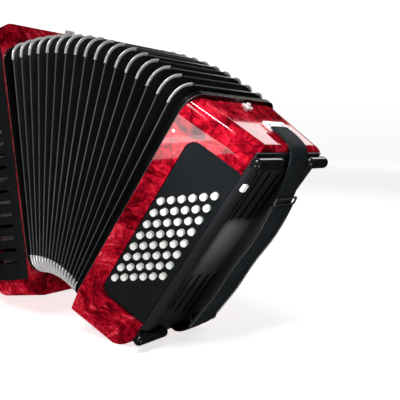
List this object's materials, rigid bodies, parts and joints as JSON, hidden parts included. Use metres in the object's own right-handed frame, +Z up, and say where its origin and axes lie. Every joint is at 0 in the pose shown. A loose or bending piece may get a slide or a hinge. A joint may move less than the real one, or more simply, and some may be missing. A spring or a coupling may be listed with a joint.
{
  "type": "piano accordion",
  "caption": "Free-reed squeezebox with a piano keyboard, red pearl casings, fanned black pleated bellows, a slanted bass button board and a hand strap.",
  "frame": {"origin": "middle of the floor under the standing accordion", "axes": "+X from the treble keyboard to the bass end, +Y from the front to the back, +Z up"},
  "size_m": [0.5672, 0.172, 0.3824],
  "materials": {
    "white_key_plastic": "glossy moulded white plastic",
    "black_key_plastic": "glossy moulded black plastic",
    "button_plastic": "glossy white plastic",
    "bellows_card": "black glazed cloth on folded card, with bright corner guards",
    "frame_wood": "black lacquered wood",
    "red_celluloid": "polished red pearl celluloid",
    "red_celluloid_bed": "wood covered with red pearl celluloid",
    "charcoal_board": "matt charcoal",
    "black_cover_plastic": "satin black moulded plastic",
    "foot_plastic": "satin black plastic",
    "strap_leather": "black leather",
    "chrome": "polished",
    "reed_wood": "bare spruce",
    "steel": "bright"
  },
  "bodies": {
    "treble_side": {"bellows_frame_treble": "frame_wood", "treble_casing": "red_celluloid", "treble_grille": "black_cover_plastic", "keyboard_bed": "red_celluloid_bed", "key_axle": "steel", "treble_reed_block": "reed_wood", "shoulder_strap_brackets": "chrome", "treble_snap_studs": "chrome"},
    "fold_1": {"bellows_fold_1": "bellows_card"},
    "fold_2": {"bellows_fold_2": "bellows_card"},
    "fold_3": {"bellows_fold_3": "bellows_card"},
    "fold_4": {"bellows_fold_4": "bellows_card"},
    "fold_5": {"bellows_fold_5": "bellows_card"},
    "fold_6": {"bellows_fold_6": "bellows_card"},
    "fold_7": {"bellows_fold_7": "bellows_card"},
    "fold_8": {"bellows_fold_8": "bellows_card"},
    "bass_side": {"bellows_frame_bass": "frame_wood", "bass_casing": "red_celluloid", "bass_button_board": "charcoal_board", "bass_end_cover": "black_cover_plastic", "bass_feet": "foot_plastic", "bass_strap": "strap_leather", "bass_strap_pad": "strap_leather", "bass_strap_bracket": "chrome", "bass_strap_buckle": "chrome", "bass_reed_block": "reed_wood", "bass_snap_studs": "chrome"},
    "white_key_1": {"white_key_1": "white_key_plastic"},
    "white_key_2": {"white_key_2": "white_key_plastic"},
    "white_key_3": {"white_key_3": "white_key_plastic"},
    "white_key_4": {"white_key_4": "white_key_plastic"},
    "white_key_5": {"white_key_5": "white_key_plastic"},
    "white_key_6": {"white_key_6": "white_key_plastic"},
    "white_key_7": {"white_key_7": "white_key_plastic"},
    "white_key_8": {"white_key_8": "white_key_plastic"},
    "white_key_9": {"white_key_9": "white_key_plastic"},
    "white_key_10": {"white_key_10": "white_key_plastic"},
    "white_key_11": {"white_key_11": "white_key_plastic"},
    "white_key_12": {"white_key_12": "white_key_plastic"},
    "white_key_13": {"white_key_13": "white_key_plastic"},
    "white_key_14": {"white_key_14": "white_key_plastic"},
    "white_key_15": {"white_key_15": "white_key_plastic"},
    "white_key_16": {"white_key_16": "white_key_plastic"},
    "black_key_1": {"black_key_1": "black_key_plastic"},
    "black_key_2": {"black_key_2": "black_key_plastic"},
    "black_key_3": {"black_key_3": "black_key_plastic"},
    "black_key_4": {"black_key_4": "black_key_plastic"},
    "black_key_5": {"black_key_5": "black_key_plastic"},
    "black_key_6": {"black_key_6": "black_key_plastic"},
    "black_key_7": {"black_key_7": "black_key_plastic"},
    "black_key_8": {"black_key_8": "black_key_plastic"},
    "black_key_9": {"black_key_9": "black_key_plastic"},
    "black_key_10": {"black_key_10": "black_key_plastic"},
    "counter_bass_buttons": {"counter_bass_buttons": "button_plastic"},
    "bass_note_buttons": {"bass_note_buttons": "button_plastic"},
    "major_chord_buttons": {"major_chord_buttons": "button_plastic"},
    "minor_chord_buttons": {"minor_chord_buttons": "button_plastic"},
    "seventh_chord_buttons": {"seventh_chord_buttons": "button_plastic"},
    "diminished_chord_buttons": {"diminished_chord_buttons": "button_plastic"},
    "air_button": {"air_button": "button_plastic"}
  },
  "joints": [
    {"name": "bellows_hinge_1", "type": "hinge", "parent": "treble_side", "child": "fold_1", "pos_m": [-0.02396, 0.0035, 0.06313], "axis": [0, 1, 0], "range_deg": [-4.9, 1.2]},
    {"name": "bellows_hinge_2", "type": "hinge", "parent": "fold_1", "child": "fold_2", "pos_m": [-0.01485, 0.0035, 0.06444], "axis": [0, 1, 0], "range_deg": [-4.9, 1.2]},
    {"name": "bellows_hinge_3", "type": "hinge", "parent": "fold_2", "child": "fold_3", "pos_m": [-0.00567, 0.0035, 0.06491], "axis": [0, 1, 0], "range_deg": [-4.9, 1.2]},
    {"name": "bellows_hinge_4", "type": "hinge", "parent": "fold_3", "child": "fold_4", "pos_m": [0.00353, 0.0035, 0.06456], "axis": [0, 1, 0], "range_deg": [-4.9, 1.2]},
    {"name": "bellows_hinge_5", "type": "hinge", "parent": "fold_4", "child": "fold_5", "pos_m": [0.01265, 0.0035, 0.06337], "axis": [0, 1, 0], "range_deg": [-4.9, 1.2]},
    {"name": "bellows_hinge_6", "type": "hinge", "parent": "fold_5", "child": "fold_6", "pos_m": [0.02163, 0.0035, 0.06135], "axis": [0, 1, 0], "range_deg": [-4.9, 1.2]},
    {"name": "bellows_hinge_7", "type": "hinge", "parent": "fold_6", "child": "fold_7", "pos_m": [0.03039, 0.0035, 0.05854], "axis": [0, 1, 0], "range_deg": [-4.9, 1.2]},
    {"name": "bellows_hinge_8", "type": "hinge", "parent": "fold_7", "child": "fold_8", "pos_m": [0.03885, 0.0035, 0.05494], "axis": [0, 1, 0], "range_deg": [-4.9, 1.2]},
    {"name": "bellows_hinge_9", "type": "hinge", "parent": "fold_8", "child": "bass_side", "pos_m": [0.04696, 0.0035, 0.05059], "axis": [0, 1, 0], "range_deg": [-4.9, 1.2]},
    {"name": "white_key_1_press", "type": "hinge", "parent": "treble_side", "child": "white_key_1", "pos_m": [-0.12618, -0.053, 0.18787], "axis": [0.2312, 0, -0.9729], "range_deg": [0, 2.3], "stiffness_Nm_per_rad": 0.3, "springref_deg": -8.59},
    {"name": "white_key_2_press", "type": "hinge", "parent": "treble_side", "child": "white_key_2", "pos_m": [-0.12618, -0.053, 0.18787], "axis": [0.2312, 0, -0.9729], "range_deg": [0, 2.3], "stiffness_Nm_per_rad": 0.3, "springref_deg": -8.59},
    {"name": "white_key_3_press", "type": "hinge", "parent": "treble_side", "child": "white_key_3", "pos_m": [-0.12618, -0.053, 0.18787], "axis": [0.2312, 0, -0.9729], "range_deg": [0, 2.3], "stiffness_Nm_per_rad": 0.3, "springref_deg": -8.59},
    {"name": "white_key_4_press", "type": "hinge", "parent": "treble_side", "child": "white_key_4", "pos_m": [-0.12618, -0.053, 0.18787], "axis": [0.2312, 0, -0.9729], "range_deg": [0, 2.3], "stiffness_Nm_per_rad": 0.3, "springref_deg": -8.59},
    {"name": "white_key_5_press", "type": "hinge", "parent": "treble_side", "child": "white_key_5", "pos_m": [-0.12618, -0.053, 0.18787], "axis": [0.2312, 0, -0.9729], "range_deg": [0, 2.3], "stiffness_Nm_per_rad": 0.3, "springref_deg": -8.59},
    {"name": "white_key_6_press", "type": "hinge", "parent": "treble_side", "child": "white_key_6", "pos_m": [-0.12618, -0.053, 0.18787], "axis": [0.2312, 0, -0.9729], "range_deg": [0, 2.3], "stiffness_Nm_per_rad": 0.3, "springref_deg": -8.59},
    {"name": "white_key_7_press", "type": "hinge", "parent": "treble_side", "child": "white_key_7", "pos_m": [-0.12618, -0.053, 0.18787], "axis": [0.2312, 0, -0.9729], "range_deg": [0, 2.3], "stiffness_Nm_per_rad": 0.3, "springref_deg": -8.59},
    {"name": "white_key_8_press", "type": "hinge", "parent": "treble_side", "child": "white_key_8", "pos_m": [-0.12618, -0.053, 0.18787], "axis": [0.2312, 0, -0.9729], "range_deg": [0, 2.3], "stiffness_Nm_per_rad": 0.3, "springref_deg": -8.59},
    {"name": "white_key_9_press", "type": "hinge", "parent": "treble_side", "child": "white_key_9", "pos_m": [-0.12618, -0.053, 0.18787], "axis": [0.2312, 0, -0.9729], "range_deg": [0, 2.3], "stiffness_Nm_per_rad": 0.3, "springref_deg": -8.59},
    {"name": "white_key_10_press", "type": "hinge", "parent": "treble_side", "child": "white_key_10", "pos_m": [-0.12618, -0.053, 0.18787], "axis": [0.2312, 0, -0.9729], "range_deg": [0, 2.3], "stiffness_Nm_per_rad": 0.3, "springref_deg": -8.59},
    {"name": "white_key_11_press", "type": "hinge", "parent": "treble_side", "child": "white_key_11", "pos_m": [-0.12618, -0.053, 0.18787], "axis": [0.2312, 0, -0.9729], "range_deg": [0, 2.3], "stiffness_Nm_per_rad": 0.3, "springref_deg": -8.59},
    {"name": "white_key_12_press", "type": "hinge", "parent": "treble_side", "child": "white_key_12", "pos_m": [-0.12618, -0.053, 0.18787], "axis": [0.2312, 0, -0.9729], "range_deg": [0, 2.3], "stiffness_Nm_per_rad": 0.3, "springref_deg": -8.59},
    {"name": "white_key_13_press", "type": "hinge", "parent": "treble_side", "child": "white_key_13", "pos_m": [-0.12618, -0.053, 0.18787], "axis": [0.2312, 0, -0.9729], "range_deg": [0, 2.3], "stiffness_Nm_per_rad": 0.3, "springref_deg": -8.59},
    {"name": "white_key_14_press", "type": "hinge", "parent": "treble_side", "child": "white_key_14", "pos_m": [-0.12618, -0.053, 0.18787], "axis": [0.2312, 0, -0.9729], "range_deg": [0, 2.3], "stiffness_Nm_per_rad": 0.3, "springref_deg": -8.59},
    {"name": "white_key_15_press", "type": "hinge", "parent": "treble_side", "child": "white_key_15", "pos_m": [-0.12618, -0.053, 0.18787], "axis": [0.2312, 0, -0.9729], "range_deg": [0, 2.3], "stiffness_Nm_per_rad": 0.3, "springref_deg": -8.59},
    {"name": "white_key_16_press", "type": "hinge", "parent": "treble_side", "child": "white_key_16", "pos_m": [-0.12618, -0.053, 0.18787], "axis": [0.2312, 0, -0.9729], "range_deg": [0, 2.3], "stiffness_Nm_per_rad": 0.3, "springref_deg": -8.59},
    {"name": "black_key_1_press", "type": "hinge", "parent": "treble_side", "child": "black_key_1", "pos_m": [-0.12618, -0.053, 0.18787], "axis": [0.2312, 0, -0.9729], "range_deg": [0, 2.3], "stiffness_Nm_per_rad": 0.3, "springref_deg": -8.59},
    {"name": "black_key_2_press", "type": "hinge", "parent": "treble_side", "child": "black_key_2", "pos_m": [-0.12618, -0.053, 0.18787], "axis": [0.2312, 0, -0.9729], "range_deg": [0, 2.3], "stiffness_Nm_per_rad": 0.3, "springref_deg": -8.59},
    {"name": "black_key_3_press", "type": "hinge", "parent": "treble_side", "child": "black_key_3", "pos_m": [-0.12618, -0.053, 0.18787], "axis": [0.2312, 0, -0.9729], "range_deg": [0, 2.3], "stiffness_Nm_per_rad": 0.3, "springref_deg": -8.59},
    {"name": "black_key_4_press", "type": "hinge", "parent": "treble_side", "child": "black_key_4", "pos_m": [-0.12618, -0.053, 0.18787], "axis": [0.2312, 0, -0.9729], "range_deg": [0, 2.3], "stiffness_Nm_per_rad": 0.3, "springref_deg": -8.59},
    {"name": "black_key_5_press", "type": "hinge", "parent": "treble_side", "child": "black_key_5", "pos_m": [-0.12618, -0.053, 0.18787], "axis": [0.2312, 0, -0.9729], "range_deg": [0, 2.3], "stiffness_Nm_per_rad": 0.3, "springref_deg": -8.59},
    {"name": "black_key_6_press", "type": "hinge", "parent": "treble_side", "child": "black_key_6", "pos_m": [-0.12618, -0.053, 0.18787], "axis": [0.2312, 0, -0.9729], "range_deg": [0, 2.3], "stiffness_Nm_per_rad": 0.3, "springref_deg": -8.59},
    {"name": "black_key_7_press", "type": "hinge", "parent": "treble_side", "child": "black_key_7", "pos_m": [-0.12618, -0.053, 0.18787], "axis": [0.2312, 0, -0.9729], "range_deg": [0, 2.3], "stiffness_Nm_per_rad": 0.3, "springref_deg": -8.59},
    {"name": "black_key_8_press", "type": "hinge", "parent": "treble_side", "child": "black_key_8", "pos_m": [-0.12618, -0.053, 0.18787], "axis": [0.2312, 0, -0.9729], "range_deg": [0, 2.3], "stiffness_Nm_per_rad": 0.3, "springref_deg": -8.59},
    {"name": "black_key_9_press", "type": "hinge", "parent": "treble_side", "child": "black_key_9", "pos_m": [-0.12618, -0.053, 0.18787], "axis": [0.2312, 0, -0.9729], "range_deg": [0, 2.3], "stiffness_Nm_per_rad": 0.3, "springref_deg": -8.59},
    {"name": "black_key_10_press", "type": "hinge", "parent": "treble_side", "child": "black_key_10", "pos_m": [-0.12618, -0.053, 0.18787], "axis": [0.2312, 0, -0.9729], "range_deg": [0, 2.3], "stiffness_Nm_per_rad": 0.3, "springref_deg": -8.59},
    {"name": "counter_bass_buttons_press", "type": "slide", "parent": "bass_side", "child": "counter_bass_buttons", "axis": [-0.269, 0.9466, 0.1775], "range_m": [0, 0.003], "stiffness_N_per_m": 300, "springref_m": -0.003},
    {"name": "bass_note_buttons_press", "type": "slide", "parent": "bass_side", "child": "bass_note_buttons", "axis": [-0.269, 0.9466, 0.1775], "range_m": [0, 0.003], "stiffness_N_per_m": 300, "springref_m": -0.003},
    {"name": "major_chord_buttons_press", "type": "slide", "parent": "bass_side", "child": "major_chord_buttons", "axis": [-0.269, 0.9466, 0.1775], "range_m": [0, 0.003], "stiffness_N_per_m": 300, "springref_m": -0.003},
    {"name": "minor_chord_buttons_press", "type": "slide", "parent": "bass_side", "child": "minor_chord_buttons", "axis": [-0.269, 0.9466, 0.1775], "range_m": [0, 0.003], "stiffness_N_per_m": 300, "springref_m": -0.003},
    {"name": "seventh_chord_buttons_press", "type": "slide", "parent": "bass_side", "child": "seventh_chord_buttons", "axis": [-0.269, 0.9466, 0.1775], "range_m": [0, 0.003], "stiffness_N_per_m": 300, "springref_m": -0.003},
    {"name": "diminished_chord_buttons_press", "type": "slide", "parent": "bass_side", "child": "diminished_chord_buttons", "axis": [-0.269, 0.9466, 0.1775], "range_m": [0, 0.003], "stiffness_N_per_m": 300, "springref_m": -0.003},
    {"name": "air_button_press", "type": "slide", "parent": "bass_side", "child": "air_button", "axis": [-0.8346, 0, 0.5509], "range_m": [0, 0.004], "stiffness_N_per_m": 300, "springref_m": -0.003}
  ],
  "couplings": [
    {"joint": "bellows_hinge_1", "follows": "bellows_hinge_9", "ratio": 1},
    {"joint": "bellows_hinge_2", "follows": "bellows_hinge_9", "ratio": 1},
    {"joint": "bellows_hinge_3", "follows": "bellows_hinge_9", "ratio": 1},
    {"joint": "bellows_hinge_4", "follows": "bellows_hinge_9", "ratio": 1},
    {"joint": "bellows_hinge_5", "follows": "bellows_hinge_9", "ratio": 1},
    {"joint": "bellows_hinge_6", "follows": "bellows_hinge_9", "ratio": 1},
    {"joint": "bellows_hinge_7", "follows": "bellows_hinge_9", "ratio": 1},
    {"joint": "bellows_hinge_8", "follows": "bellows_hinge_9", "ratio": 1}
  ]
}
